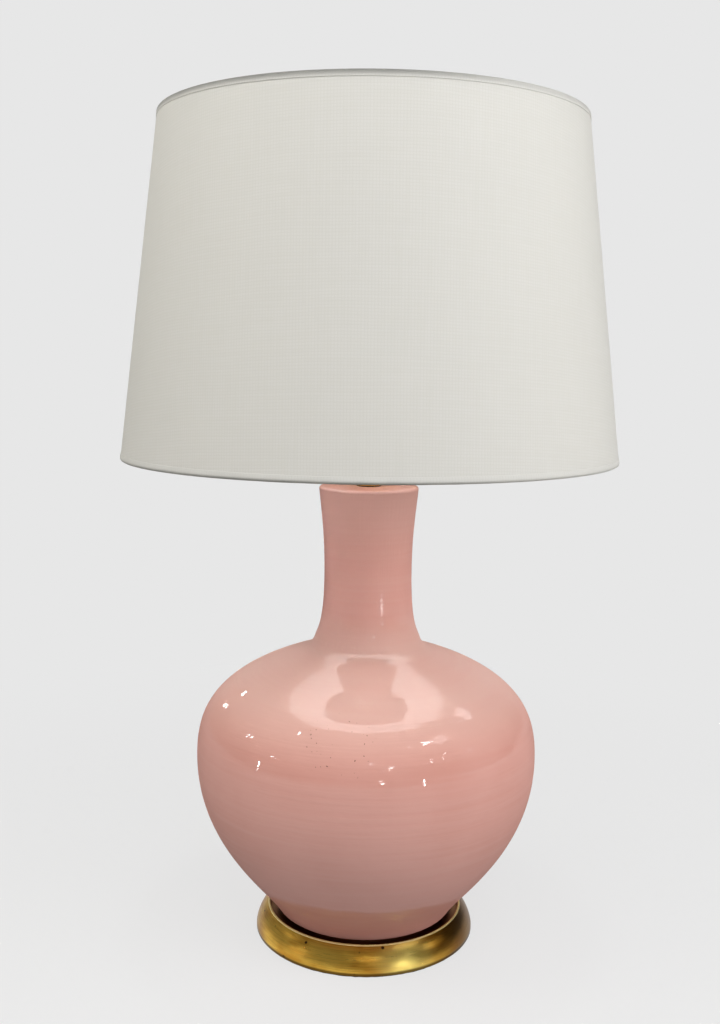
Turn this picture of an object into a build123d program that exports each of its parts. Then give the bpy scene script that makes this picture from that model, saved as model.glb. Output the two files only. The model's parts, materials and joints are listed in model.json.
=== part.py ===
"""Vase lamp: a glazed vase on a spun brass base, with socket, bulb, harp and a fabric drum shade.

Millimetres, +Z up. The origin is the centre of the underside. The front is -Y, the cord inlet is at +Y.
"""

import os
from math import atan, cos, radians, sin, sqrt

from build123d import *

# Gaps between pieces
fixed_gap = 0.05
seat_gap = 0.1
turning_gap = 0.08
sliding_gap = 0.3
hole_gap = 0.3
ring_gap = 0.4

# Felt pad and brass base
felt_thickness = 1.2
felt_inset = 1.0
base_radius = 96.3
base_height = 23.2
base_sheet = 1.0
base_lip = 3.0
base_bulge = 1.8
rim_radius = 85.0
well_depth = 5.2

# Cord inlet at the back of the base
inlet_height = 8.4
inlet_bore_radius = 3.2
inlet_barrel_radius = 5.0
inlet_flange_radius = 6.2
inlet_barrel_length = 9.0
inlet_stand_off = 1.6

# Vase
vase_height = 379.0
vase_wall = 6.0
vase_floor = 6.0
vase_ceiling = 6.0
foot_radius = 66.0
foot_width = 7.0
foot_recess = 3.0
foot_height = 3.6
foot_blend = 7.0
edge_radius = 78.4
edge_rise = 6.5
belly_radius = 148.0
belly_rise = 144.0
shoulder_radius = 61.0
shoulder_rise = 234.1
neck_base_radius = 46.0
neck_base_rise = 246.3
waist_radius = 37.7
waist_rise = 305.5
lip_radius = 42.7
lip_round = 2.5
vase_hole_radius = 7.5

# Hollow rod and the nuts that clamp the stack
rod_radius = 4.9
rod_bore_radius = 3.4
rod_tail = 2.0
nut_width = 14.3
bottom_washer_radius = 18.0
bottom_washer_thickness = 1.6
lock_washer_radius = 8.5
lock_washer_thickness = 1.2
lock_washer_split = 1.5
bottom_nut_height = 4.0
upper_nut_height = 3.5

# Brass fittings on the neck
gasket_radius = 10.5
gasket_thickness = 1.0
cap_radius = 12.0
cap_height = 4.5
cap_edge = 1.5
spacer_height = 19.0
spacer_foot_radius = 8.0
spacer_waist_radius = 6.4
spacer_top_radius = 9.0

# Harp: saddle, wire bow, stud and sleeves
saddle_width = 12.0
saddle_thickness = 1.5
saddle_flat = 15.0
saddle_rise = 12.0
saddle_height = 19.5
saddle_bend = 5.0
saddle_corner = 2.0
horn_height = 10.0
wire_radius = 2.0
leg_spacing = 64.0
leg_length = 36.0
leg_bend = 50.0
bow_lean = 14.0
bow_flat = 16.0
harp_height = 252.0
stud_hub_radius = 5.0
stud_hub_wall = 1.4
stud_flange_radius = 9.0
stud_flange_thickness = 1.5
stud_radius = 3.1
stud_length = 11.8
sleeve_length = 12.0
sleeve_radius = 4.3
sleeve_end_radius = 3.6
sleeve_taper = 2.0

# Socket
hub_radius = 7.2
hub_height = 7.0
socket_sheet = 0.6
socket_radius = 16.6
socket_cap_height = 24.0
socket_dome_height = 16.0
socket_height = 60.0
socket_bead = 0.7
card_thickness = 0.6
card_stick_out = 1.2
core_radius = 14.8
core_height = 21.0
core_flat = 11.5
stem_height = 33.0
stem_slot_radius = 3.0
screw_shell_radius = 13.35
screw_shell_wall = 0.5
screw_shell_height = 19.0
leaf_width = 6.0
leaf_thickness = 0.5
leaf_rise = 2.4
set_screw_radius = 1.6
set_screw_stick_out = 2.0
terminal_head_radius = 2.6
terminal_head_height = 2.0
terminal_shank_radius = 1.4
terminal_shank_length = 5.0

# Switch
stem_radius = 2.0
stem_depth = 12.0
knob_radius = 7.0
knob_length = 13.0
knob_stand_off = 4.0
knob_wall = 2.0
knob_flutes = 16
flute_radius = 0.9

# Bulb
bulb_height = 108.0
bulb_radius = 30.0
bulb_widest = 76.0
bulb_glass = 1.0
bulb_neck_radius = 12.2
bulb_neck_start = 18.0
bulb_cap_radius = 13.0
bulb_cap_height = 24.0
bulb_cap_wall = 0.6
pip_radius = 4.6
pip_height = 1.2
plug_radius = 9.0
plug_height = 8.2

# Shade
shade_height = 279.4
shade_top_radius = 176.1
shade_bottom_radius = 209.4
cover_thickness = 0.6
liner_thickness = 0.5
hem_thickness = 0.5
hem_height = 1.0
hem_flats = 8
ring_wire = 1.4
arm_wire = 1.6
arm_count = 3
arm_start = 10.0
arm_bend_start = 128.0
arm_bend_end = 148.0
arm_bend = 9.0
spider_drop = 11.6
spider_hub_radius = 14.0
spider_hub_thickness = 2.0

# Finial
finial_foot_radius = 7.0
finial_foot_height = 2.0
finial_neck_radius = 5.6
finial_neck_rise = 11.0
finial_ball_radius = 9.0
finial_ball_rise = 18.5
insert_radius = 4.2
insert_length = 11.0
thread_gap = 0.1

# Heights that follow from the stack, from the table up
base_bottom = felt_thickness
well_floor = base_height - well_depth
pan_underside = well_floor - base_sheet
bottom_nut_top = pan_underside - bottom_washer_thickness - lock_washer_thickness
rod_bottom = bottom_nut_top - bottom_nut_height - rod_tail
vase_top = well_floor + vase_height
cap_bottom = vase_top + gasket_thickness
spacer_bottom = cap_bottom + cap_height
upper_nut_bottom = spacer_bottom + spacer_height
saddle_bottom = upper_nut_bottom + upper_nut_height
saddle_shoulder = saddle_bottom + saddle_height
socket_bottom = saddle_bottom + saddle_thickness
core_bottom = socket_bottom + socket_dome_height + 2.5
core_top = core_bottom + core_height
bulb_bottom = core_top + leaf_rise + leaf_thickness + seat_gap
stem_axis = socket_bottom + stem_height
harp_top = saddle_bottom + harp_height
stud_seat = harp_top + wire_radius + stud_hub_wall + stud_flange_thickness
spider_hub_bottom = stud_seat + seat_gap
spider_hub_top = spider_hub_bottom + spider_hub_thickness
arm_height = spider_hub_top + arm_wire + fixed_gap
top_ring_height = arm_height + spider_drop
finial_bottom = spider_hub_top + seat_gap
leg_x = leg_spacing / 2


def turned(outline):
    """Solid of revolution about the Z axis from a closed outline of (radius, height)."""
    return revolve(make_face(Plane.XZ * outline), Axis.Z)


def washer(inner, outer, bottom, top):
    """Plain tube, washer or disc about the Z axis."""
    return turned(Polyline((inner, bottom), (outer, bottom), (outer, top), (inner, top), close=True))


def bar(path, section):
    """A flat section carried along a path from its start."""
    return sweep(Plane(origin=path @ 0, z_dir=path % 0) * section, path=path)


def rod_along_y(radius, start, end, height):
    """Round rod along Y at a given height."""
    middle = (start + end) / 2
    return Pos(0, middle, height) * Rot(90, 0, 0) * Cylinder(radius, abs(end - start))


def hex_nut(bottom, height):
    """Hexagon nut screwed on the hollow rod, with its outer corners turned off."""
    hexagon = RegularPolygon(nut_width / 2, 6, major_radius=False)
    nut = Pos(0, 0, bottom) * extrude(hexagon, height)
    corner = nut_width / 2 + 0.6
    blank = turned(
        Polyline(
            (rod_radius + fixed_gap, bottom),
            (corner, bottom),
            (corner + 0.6, bottom + 0.6),
            (corner + 0.6, bottom + height - 0.6),
            (corner, bottom + height),
            (rod_radius + fixed_gap, bottom + height),
            close=True,
        )
    )
    return nut & blank


def smooth_line(stations, inset=0):
    """Curve through stations of (radius, height, heading, pull before, pull after).

    The heading is the direction of travel in degrees from the radius axis. Each pull is how far the
    curve keeps to it. The inset moves every station to the left of its heading.
    Returns the curve and its first and last points.
    """
    spots = []
    for radius, height, heading, before, after in stations:
        along = Vector(cos(radians(heading)), sin(radians(heading)))
        left = Vector(-along.Y, along.X)
        spots.append((Vector(radius, height) + left * inset, along * before, along * after))
    line = Curve()
    for (start, _, leave), (end, arrive, _) in zip(spots, spots[1:]):
        line += Bezier(start, start + leave, end - arrive, end)
    return line, spots[0][0], spots[-1][0]


# Felt pad and spun brass base


def base_slope(inset, top):
    """Arc of the sloped wall from the lip up to a given rim point, moved in by the sheet."""
    low = Vector(base_radius - inset, base_bottom + base_lip)
    chord = (top - low).normalized()
    middle = (low + top) / 2 + Vector(chord.Y, -chord.X) * base_bulge
    return ThreePointArc(low, middle, top)


def make_felt_pad():
    return washer(0, base_radius - felt_inset, 0, felt_thickness)


def make_base_envelope(extra):
    """The base filled in, a little larger than it is."""
    top = Vector(rim_radius + base_sheet + extra, base_height - base_sheet)
    outline = base_slope(-extra, top) + Polyline(
        top,
        (0, top.Y),
        (0, base_bottom),
        (base_radius + extra, base_bottom),
        (base_radius + extra, base_bottom + base_lip),
    )
    return turned(outline)


def make_base_shell():
    hole = rod_radius + hole_gap
    fold = base_height - base_sheet
    rim_in = Vector(rim_radius - base_sheet, fold)
    rim_out = Vector(rim_radius + base_sheet, fold)
    under_fold = Vector(rim_radius, base_height - 1.6 * base_sheet)
    lip_top = base_bottom + base_lip
    outline = Polyline((hole, well_floor), (rim_in.X, well_floor), rim_in)
    outline += ThreePointArc(rim_in, (rim_radius, base_height), rim_out)
    outline += base_slope(0, rim_out)
    outline += Polyline(
        (base_radius, lip_top),
        (base_radius, base_bottom),
        (base_radius - base_sheet, base_bottom),
        (base_radius - base_sheet, lip_top),
    )
    outline += base_slope(base_sheet, under_fold)
    outline += Polyline(
        under_fold,
        (rim_radius, pan_underside),
        (hole, pan_underside),
        (hole, well_floor),
    )
    inside = rim_radius - inlet_barrel_length
    outside = base_radius + inlet_stand_off
    inlet = rod_along_y(inlet_barrel_radius + fixed_gap, inside, outside, inlet_height)
    return turned(outline) - inlet


def make_cord_bushing():
    """Moulded inlet: its flange follows the sloped wall and its barrel goes through it."""
    face = base_radius + inlet_stand_off
    back = face - inlet_barrel_length
    flange = rod_along_y(inlet_flange_radius, back, face, inlet_height)
    flange = flange - make_base_envelope(fixed_gap)
    barrel = rod_along_y(inlet_barrel_radius, back, face, inlet_height)
    bore = rod_along_y(inlet_bore_radius, back - 1, face + 1, inlet_height)
    return flange + barrel - bore


# Vase and the stack that the rod clamps


def make_vase():
    seat = well_floor
    stations = [
        (edge_radius, seat + edge_rise, 58.9, 3.0, 30.0),
        (belly_radius, seat + belly_rise, 90.0, 72.2, 34.0),
        (shoulder_radius, seat + shoulder_rise, 162.4, 83.0, 6.5),
        (neck_base_radius, seat + neck_base_rise, 105.0, 6.5, 7.0),
        (waist_radius, seat + waist_rise, 90.0, 48.8, 35.2),
        (lip_radius, vase_top - lip_round, 84.8, 14.9, 0.0),
    ]
    outside, low, high = smooth_line(stations)
    ceiling_end = (lip_radius, vase_top - vase_ceiling, *stations[-1][2:])
    inside, inner_low, inner_high = smooth_line(stations[:-1] + [ceiling_end], vase_wall)
    under = seat + foot_recess
    floor = under + vase_floor
    foot_in = foot_radius - foot_width
    edge_start = Vector(foot_radius + 0.6, seat + foot_height)
    heading = radians(stations[0][2])
    edge_pull = low - Vector(cos(heading), sin(heading)) * stations[0][3]
    flat = high.X - lip_round
    outline = outside + inside
    outline += Polyline(
        (vase_hole_radius, under),
        (foot_in, under),
        (foot_in, seat),
        (foot_radius, seat),
        edge_start,
    )
    outline += Bezier(edge_start, edge_start + Vector(foot_blend, 0), edge_pull, low)
    outline += Bezier(high, high + Vector(0.1, 1.4), (flat + 1.4, vase_top), (flat, vase_top))
    outline += Polyline(
        (flat, vase_top),
        (vase_hole_radius, vase_top),
        (vase_hole_radius, inner_high.Y),
        inner_high,
    )
    outline += Polyline(
        inner_low,
        (inner_low.X - 4, floor),
        (vase_hole_radius, floor),
        (vase_hole_radius, under),
    )
    return turned(outline)


def make_threaded_rod():
    return washer(rod_bore_radius, rod_radius, rod_bottom, socket_bottom + hub_height)


def make_bottom_washer():
    bottom = pan_underside - bottom_washer_thickness
    return washer(rod_radius + hole_gap, bottom_washer_radius, bottom, pan_underside)


def make_bottom_lock_washer():
    """Spring washer: a ring with one split."""
    top = bottom_nut_top + lock_washer_thickness
    ring = washer(rod_radius + hole_gap, lock_washer_radius, bottom_nut_top, top)
    split = Pos(lock_washer_radius, 0, top) * Rot(0, 0, 20)
    return ring - split * Box(lock_washer_radius, lock_washer_split, 4 * lock_washer_thickness)


def make_bottom_nut():
    return hex_nut(bottom_nut_top - bottom_nut_height, bottom_nut_height)


def make_neck_gasket():
    return washer(rod_radius + hole_gap, gasket_radius, vase_top, cap_bottom)


def make_vase_cap():
    hole = rod_radius + hole_gap
    edge = Vector(cap_radius, cap_bottom + cap_edge)
    top = Vector(spacer_foot_radius + 1, spacer_bottom)
    outline = Polyline((hole, spacer_bottom), (hole, cap_bottom), (cap_radius, cap_bottom), edge)
    outline += Bezier(edge, edge + Vector(0, 1.6), top + Vector(2, 0), top)
    outline += Line(top, (hole, spacer_bottom))
    return turned(outline)


def make_neck_spacer():
    hole = rod_radius + hole_gap
    top = upper_nut_bottom
    foot_edge = Vector(spacer_foot_radius, spacer_bottom + 2)
    top_edge = Vector(spacer_top_radius, top - 2.5)
    outline = Polyline((hole, top), (hole, spacer_bottom), (spacer_foot_radius, spacer_bottom), foot_edge)
    middle = (spacer_waist_radius, (foot_edge.Y + top_edge.Y) / 2)
    outline += ThreePointArc(foot_edge, middle, top_edge)
    outline += Polyline(top_edge, (spacer_top_radius, top), (hole, top))
    return turned(outline)


def make_upper_nut():
    return hex_nut(upper_nut_bottom, upper_nut_height)


# Harp


def outer_half(height):
    """Half-round post on the outer side of each harp leg, for a given height above the shoulder."""
    posts = []
    for side in (-1, 1):
        post = Pos(side * leg_x, 0, saddle_shoulder) * Cylinder(wire_radius, 2 * height)
        keep = Pos(side * (leg_x + fixed_gap + wire_radius), 0, saddle_shoulder)
        posts.append(post & keep * Box(2 * wire_radius, 4 * wire_radius, 2 * height))
    return posts


def make_harp_saddle():
    """Bent strap with a half-round horn at each end."""
    middle = saddle_bottom + saddle_thickness / 2
    path = FilletPolyline(
        (-leg_x, 0, saddle_shoulder),
        (-leg_x, 0, middle + saddle_rise),
        (-saddle_flat, 0, middle),
        (saddle_flat, 0, middle),
        (leg_x, 0, middle + saddle_rise),
        (leg_x, 0, saddle_shoulder),
        radius=saddle_bend,
    )
    start = Plane(origin=path @ 0, x_dir=(0, 1, 0), z_dir=path % 0)
    strap = sweep(start * Rectangle(saddle_width, saddle_thickness), path=path)
    corners = strap.edges().filter_by(Axis.X).group_by(Axis.Z)[-1]
    strap = fillet(corners, saddle_corner)
    strap = strap - Pos(0, 0, saddle_bottom) * Cylinder(rod_radius + hole_gap, 4 * saddle_thickness)
    below = Pos(0, 0, saddle_shoulder - horn_height) * Box(2 * leg_spacing, saddle_width, 2 * horn_height - 2)
    for post in outer_half(horn_height):
        strap = strap + (post - below)
    return strap


def harp_path():
    """Centre line of the wire, up one leg, over the top and down the other."""
    start = saddle_shoulder + seat_gap
    lean = radians(bow_lean)
    bend_top = Vector(leg_x + leg_bend * (1 - cos(lean)), start + leg_length + leg_bend * sin(lean))
    rise = harp_top - bend_top.Y
    reach = bend_top.X - bow_flat / 2
    crown = (1 + sin(lean)) / cos(lean)
    side_length = (rise - reach * crown) / (cos(lean) + sin(lean) * crown)
    top_bend = (reach + side_length * sin(lean)) / cos(lean)
    up = Line((leg_x, start), (leg_x, start + leg_length))
    out = JernArc(up @ 1, up % 1, leg_bend, -bow_lean)
    side = Line(out @ 1, out @ 1 + (out % 1) * side_length)
    over = JernArc(side @ 1, side % 1, top_bend, 90 + bow_lean)
    flat = Line(over @ 1, over @ 1 - Vector(bow_flat, 0))
    back = JernArc(flat @ 1, flat % 1, top_bend, 90 + bow_lean)
    slant = Line(back @ 1, back @ 1 + (back % 1) * side_length)
    straighten = JernArc(slant @ 1, slant % 1, leg_bend, -bow_lean)
    down = Line(straighten @ 1, straighten @ 1 - Vector(0, leg_length))
    return Plane.XZ * Wire([up, out, side, over, flat, back, slant, straighten, down])


def make_harp_bow():
    """Wire bow whose lower ends are cut to half rounds beside the saddle's horns."""
    bow = bar(harp_path(), Circle(wire_radius))
    room = horn_height + seat_gap
    for side in (-1, 1):
        cut = Pos(side * (leg_x - fixed_gap + wire_radius), 0, saddle_shoulder)
        bow = bow - cut * Box(2 * wire_radius, 4 * wire_radius, 2 * room)
    return bow


def make_harp_stud():
    """Post for the shade and finial, with a cross hole for the wire."""
    bottom = harp_top - wire_radius - stud_hub_wall
    flange = stud_seat - stud_flange_thickness
    post = turned(
        Polyline(
            (0, bottom),
            (stud_hub_radius, bottom),
            (stud_hub_radius, flange),
            (stud_flange_radius, flange),
            (stud_flange_radius, stud_seat),
            (stud_radius, stud_seat),
            (stud_radius, stud_seat + stud_length - 0.8),
            (stud_radius - 0.8, stud_seat + stud_length),
            (0, stud_seat + stud_length),
            close=True,
        )
    )
    cross_hole = Cylinder(wire_radius + fixed_gap, 4 * stud_hub_radius)
    return post - Pos(0, 0, harp_top) * Rot(0, 90, 0) * cross_hole


def make_harp_sleeve(side):
    bottom = saddle_shoulder + seat_gap
    bore = wire_radius + sliding_gap
    top = bottom + sleeve_length
    sleeve = turned(
        Polyline(
            (bore, bottom),
            (sleeve_end_radius, bottom),
            (sleeve_radius, bottom + sleeve_taper),
            (sleeve_radius, top - sleeve_taper),
            (sleeve_end_radius, top),
            (bore, top),
            close=True,
        )
    )
    return Pos(side * leg_x, 0, 0) * sleeve


# Socket and switch


def stem_slot(outer):
    """Slot that lets a sleeve slide down over the switch stem."""
    middle = stem_axis - stem_height / 2
    slot = Pos(0, -outer / 2, middle) * Box(2 * stem_slot_radius, outer, stem_height)
    return slot + rod_along_y(stem_slot_radius, -outer, 0, stem_axis)


def make_socket_cap():
    bottom = socket_bottom
    outer = socket_radius + fixed_gap + socket_sheet
    inner = socket_radius + fixed_gap
    hub_top = bottom + hub_height
    dome_top = bottom + socket_dome_height
    hole = rod_radius + fixed_gap
    outer_low = Vector(hub_radius, hub_top - 1)
    outer_high = Vector(outer, dome_top)
    inner_low = Vector(hub_radius, hub_top)
    inner_high = Vector(inner, dome_top)
    swell = Vector(0, 5)
    outline = Polyline((hole, hub_top), (hole, bottom), (hub_radius, bottom), outer_low)
    outline += Bezier(outer_low, outer_low + Vector(6, 1), outer_high - swell, outer_high)
    outline += Polyline(
        outer_high,
        (outer, bottom + socket_cap_height),
        (inner, bottom + socket_cap_height),
        inner_high,
    )
    outline += Bezier(inner_high, inner_high - swell, inner_low + Vector(6, 1), inner_low)
    outline += Line(inner_low, (hole, hub_top))
    tapped = rod_along_y(set_screw_radius + fixed_gap, 0, 2 * hub_radius, bottom + hub_height / 2)
    return turned(outline) - tapped


def make_socket_set_screw():
    """Slotted screw through the cap's hub that grips the rod."""
    height = socket_bottom + hub_height / 2
    end = hub_radius + set_screw_stick_out
    screw = rod_along_y(set_screw_radius, rod_radius + seat_gap, end, height)
    return screw - Pos(0, end, height) * Box(4 * set_screw_radius, 1.6, 0.6)


def make_socket_shell():
    low = socket_bottom + socket_dome_height + 1
    top = socket_bottom + socket_height
    outer = socket_radius
    inner = socket_radius - socket_sheet
    bead = top - 14
    outline = Polyline((inner, top), (inner, low), (outer, low), (outer, bead))
    outline += ThreePointArc((outer, bead), (outer + socket_bead, bead + 2), (outer, bead + 4))
    outline += Line((outer, bead + 4), (outer, top - 2))
    outline += ThreePointArc((outer, top - 2), (outer + socket_bead, top - 1), (outer, top))
    outline += Line((outer, top), (inner, top))
    return turned(outline) - stem_slot(2 * outer)


def make_socket_insulator():
    outer = socket_radius - socket_sheet - fixed_gap
    top = socket_bottom + socket_height + card_stick_out
    card = washer(outer - card_thickness, outer, socket_bottom + socket_dome_height + 1.5, top)
    return card - stem_slot(2 * outer)


def make_socket_core():
    """Moulded switch body with flat sides for the terminal screws and a bore for the stem."""
    core = washer(0, core_radius, core_bottom, core_top)
    middle = (core_bottom + core_top) / 2
    for side in (-1, 1):
        flat = Pos(side * (core_flat + core_radius), 0, middle)
        core = core - flat * Box(2 * core_radius, 2 * core_radius, core_height - 6)
        shank = Pos(side * core_flat, 0, middle) * Rot(0, 90, 0)
        core = core - shank * Cylinder(terminal_shank_radius + fixed_gap, 2 * terminal_shank_length)
    bore_end = -core_radius + stem_depth
    return core - rod_along_y(stem_radius + turning_gap, -2 * core_radius, bore_end, stem_axis)


def make_terminal_screws():
    """One slotted screw on each flat of the switch body."""
    middle = (core_bottom + core_top) / 2
    screw = Pos(0, 0, terminal_head_height / 2) * Cylinder(terminal_head_radius, terminal_head_height)
    shank = terminal_shank_length - 1
    screw = screw + Pos(0, 0, -shank / 2) * Cylinder(terminal_shank_radius, shank)
    screw = screw - Pos(0, 0, terminal_head_height) * Box(3 * terminal_head_radius, 0.7, 1.4)
    right = Pos(core_flat, 0, middle) * Rot(0, 90, 0) * screw
    left = Pos(-core_flat, 0, middle) * Rot(0, -90, 0) * screw
    return Compound([right, left])


def make_screw_shell():
    outer = screw_shell_radius + screw_shell_wall
    return washer(screw_shell_radius, outer, core_top, core_top + screw_shell_height)


def make_centre_contact():
    """Spring leaf that rises from the switch body to the middle of the socket."""
    foot = core_top
    tip = core_top + leaf_rise
    t = leaf_thickness
    side = Polyline(
        (-10, foot),
        (-5, foot),
        (-1, tip),
        (4, tip),
        (4, tip + t),
        (-1.4, tip + t),
        (-5.4, foot + t),
        (-10, foot + t),
        close=True,
    )
    return extrude(make_face(Plane.XZ * side), leaf_width / 2, both=True)


def make_switch_stem():
    inner = -core_radius + stem_depth - seat_gap
    outer = -socket_radius - knob_stand_off - knob_length + knob_wall
    return rod_along_y(stem_radius, inner, outer, stem_axis)


def make_switch_knob():
    """Ridged knob pressed on the stem."""
    near = -socket_radius - knob_stand_off
    far = near - knob_length
    knob = Cylinder(knob_radius, knob_length)
    knob = fillet(knob.edges().filter_by(GeomType.CIRCLE).group_by(Axis.Z)[-1], 1.5)
    flute = Cylinder(flute_radius, 2 * knob_length)
    for turn in range(knob_flutes):
        knob = knob - Rot(0, 0, turn * 360 / knob_flutes) * Pos(knob_radius, 0, 0) * flute
    knob = Pos(0, (near + far) / 2, stem_axis) * Rot(90, 0, 0) * knob
    return knob - rod_along_y(stem_radius + fixed_gap, 0, far + knob_wall - seat_gap, stem_axis)


# Bulb


def make_bulb_globe():
    base = bulb_bottom
    stations = [
        (bulb_neck_radius, base + bulb_neck_start, 90, 0, 4),
        (bulb_neck_radius, base + bulb_cap_height + 2, 90, 4, 16),
        (bulb_radius, base + bulb_widest, 90, 26, bulb_radius * 0.55),
        (0, base + bulb_height, 180, bulb_radius * 0.58, 0),
    ]
    outside, low, high = smooth_line(stations)
    inside, inner_low, inner_high = smooth_line(stations, bulb_glass)
    outline = outside + inside + Line(low, inner_low) + Line(high, inner_high)
    return turned(outline)


def make_bulb_cap():
    """Screw cap: a cup with a round opening below for the contact plug."""
    base = bulb_bottom
    hole = plug_radius + turning_gap
    inner = bulb_cap_radius - bulb_cap_wall
    shelf = base + plug_height + seat_gap
    return turned(
        Polyline(
            (hole, base + 3),
            (hole + 1.4, base + 3),
            (bulb_cap_radius, base + 7),
            (bulb_cap_radius, base + bulb_cap_height),
            (inner, base + bulb_cap_height),
            (inner, shelf),
            (hole, shelf),
            close=True,
        )
    )


def make_bulb_contact():
    """Insulating plug with the centre pip below it."""
    base = bulb_bottom
    return turned(
        Polyline(
            (0, base),
            (pip_radius - 0.6, base),
            (pip_radius, base + 0.6),
            (pip_radius, base + pip_height),
            (plug_radius, base + pip_height + 1.6),
            (plug_radius, base + plug_height),
            (0, base + plug_height),
            close=True,
        )
    )


# Shade: its outer surface is a straight taper, so every piece is laid out from the two hem centres


taper = atan((shade_bottom_radius - shade_top_radius) / shade_height)
sheet_up = Vector(-sin(taper), cos(taper))
sheet_out = Vector(cos(taper), sin(taper))
hem_half = hem_thickness + (cover_thickness + liner_thickness) / 2 + ring_wire + ring_gap
ring_offset = hem_half - hem_thickness - ring_gap - ring_wire
top_centre_radius = shade_top_radius - hem_half * (sheet_out.X + sheet_up.X)
top_centre = Vector(top_centre_radius, top_ring_height + ring_offset * sheet_out.Y)
sheet_length = shade_height / cos(taper) - 2 * hem_half
bottom_centre = top_centre - sheet_up * sheet_length
cover_outer = hem_half - hem_thickness
cover_inner = cover_outer - cover_thickness
liner_outer = cover_inner - fixed_gap / 2
liner_inner = liner_outer - liner_thickness


def shade_sheet(outer, inner):
    """Tapered sheet between two offsets from the line through the hem centres."""
    return turned(
        Polyline(
            bottom_centre + sheet_out * outer,
            top_centre + sheet_out * outer,
            top_centre + sheet_out * inner,
            bottom_centre + sheet_out * inner,
            close=True,
        )
    )


def hem_fold(centre, away, radius):
    """Corners of one side of a hem: down the outer band, over the edge in pressed flats, up the inner band."""
    turns = [180 * flat / hem_flats for flat in range(hem_flats + 1)]
    over = [centre + (sheet_out * cos(radians(turn)) + away * sin(radians(turn))) * radius for turn in turns]
    depth = away * -hem_height
    return [over[0] + depth, *over, over[-1] + depth]


def hem(centre, away):
    """Fabric folded over an edge of the shade."""
    lining = hem_half - hem_thickness + fixed_gap / 2
    outside = hem_fold(centre, away, hem_half)
    inside = hem_fold(centre, away, lining)
    return turned(Polyline(*outside, *reversed(inside), close=True))


def wire_ring(centre):
    """Wire ring that lies against the inside of the sheet."""
    middle = centre - sheet_out * ring_offset
    return Pos(0, 0, middle.Y) * Torus(middle.X, ring_wire)


def arm_angles():
    return [90 + turn * 360 / arm_count for turn in range(arm_count)]


def make_shade_top_hem():
    """Upper hem, notched on its inner side where the spider's arms go through."""
    band = hem(top_centre, sheet_up)
    inside = top_centre.X - 2 * hem_half
    notch = Pos(inside, 0, top_ring_height) * Rot(0, 90, 0) * Cylinder(arm_wire + fixed_gap, 4 * hem_half - 2)
    for angle in arm_angles():
        band = band - Rot(0, 0, angle) * notch
    return band


def make_spider_arms():
    """Wires from the hub to the top ring, each with a double bend."""
    end = top_centre.X - ring_offset * sheet_out.X - ring_wire - seat_gap
    path = FilletPolyline(
        (arm_start, 0, arm_height),
        (arm_bend_start, 0, arm_height),
        (arm_bend_end, 0, top_ring_height),
        (end, 0, top_ring_height),
        radius=arm_bend,
    )
    arm = bar(path, Circle(arm_wire))
    return Compound([Rot(0, 0, angle) * arm for angle in arm_angles()])


def make_spider_hub():
    return washer(stud_radius + sliding_gap, spider_hub_radius, spider_hub_bottom, spider_hub_top)


# Finial


def make_finial_knob():
    """Turned ball on a waisted foot, with a blind bore for the threaded insert."""
    bottom = finial_bottom
    bore = insert_radius + turning_gap
    blind = bottom + insert_length + seat_gap
    foot_top = Vector(finial_foot_radius, bottom + finial_foot_height)
    ball_centre = bottom + finial_ball_rise
    ball_top = ball_centre + finial_ball_radius
    neck = Vector(finial_neck_radius, bottom + finial_neck_rise)
    collar = finial_neck_radius + 0.6
    ball_start = Vector(collar, ball_centre - sqrt(finial_ball_radius**2 - collar**2))
    outline = Polyline((0, blind), (bore, blind), (bore, bottom), (finial_foot_radius, bottom), foot_top)
    outline += Bezier(foot_top, foot_top + Vector(-1.4, 1.5), neck - Vector(0, 3), neck)
    outline += Line(neck, ball_start)
    outline += ThreePointArc(ball_start, (finial_ball_radius, ball_centre), (0, ball_top))
    outline += Line((0, ball_top), (0, blind))
    return turned(outline)


def make_finial_insert():
    return washer(stud_radius + thread_gap, insert_radius, finial_bottom, finial_bottom + insert_length)


pieces = {
    "felt_pad": make_felt_pad(),
    "base_shell": make_base_shell(),
    "cord_bushing": make_cord_bushing(),
    "bottom_washer": make_bottom_washer(),
    "bottom_lock_washer": make_bottom_lock_washer(),
    "bottom_nut": make_bottom_nut(),
    "vase": make_vase(),
    "threaded_rod": make_threaded_rod(),
    "neck_gasket": make_neck_gasket(),
    "vase_cap": make_vase_cap(),
    "neck_spacer": make_neck_spacer(),
    "upper_nut": make_upper_nut(),
    "harp_saddle": make_harp_saddle(),
    "harp_bow": make_harp_bow(),
    "harp_stud": make_harp_stud(),
    "left_harp_sleeve": make_harp_sleeve(-1),
    "right_harp_sleeve": make_harp_sleeve(1),
    "socket_cap": make_socket_cap(),
    "socket_set_screw": make_socket_set_screw(),
    "socket_shell": make_socket_shell(),
    "socket_insulator": make_socket_insulator(),
    "socket_core": make_socket_core(),
    "terminal_screws": make_terminal_screws(),
    "screw_shell": make_screw_shell(),
    "centre_contact": make_centre_contact(),
    "switch_stem": make_switch_stem(),
    "switch_knob": make_switch_knob(),
    "bulb_globe": make_bulb_globe(),
    "bulb_cap": make_bulb_cap(),
    "bulb_contact": make_bulb_contact(),
    "shade_cover": shade_sheet(cover_outer, cover_inner),
    "shade_liner": shade_sheet(liner_outer, liner_inner),
    "shade_top_hem": make_shade_top_hem(),
    "shade_bottom_hem": hem(bottom_centre, -sheet_up),
    "shade_top_ring": wire_ring(top_centre),
    "shade_bottom_ring": wire_ring(bottom_centre),
    "spider_arms": make_spider_arms(),
    "spider_hub": make_spider_hub(),
    "finial_knob": make_finial_knob(),
    "finial_insert": make_finial_insert(),
}

os.makedirs("parts", exist_ok=True)
for name, piece in pieces.items():
    export_step(piece, f"parts/{name}.step")
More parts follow.
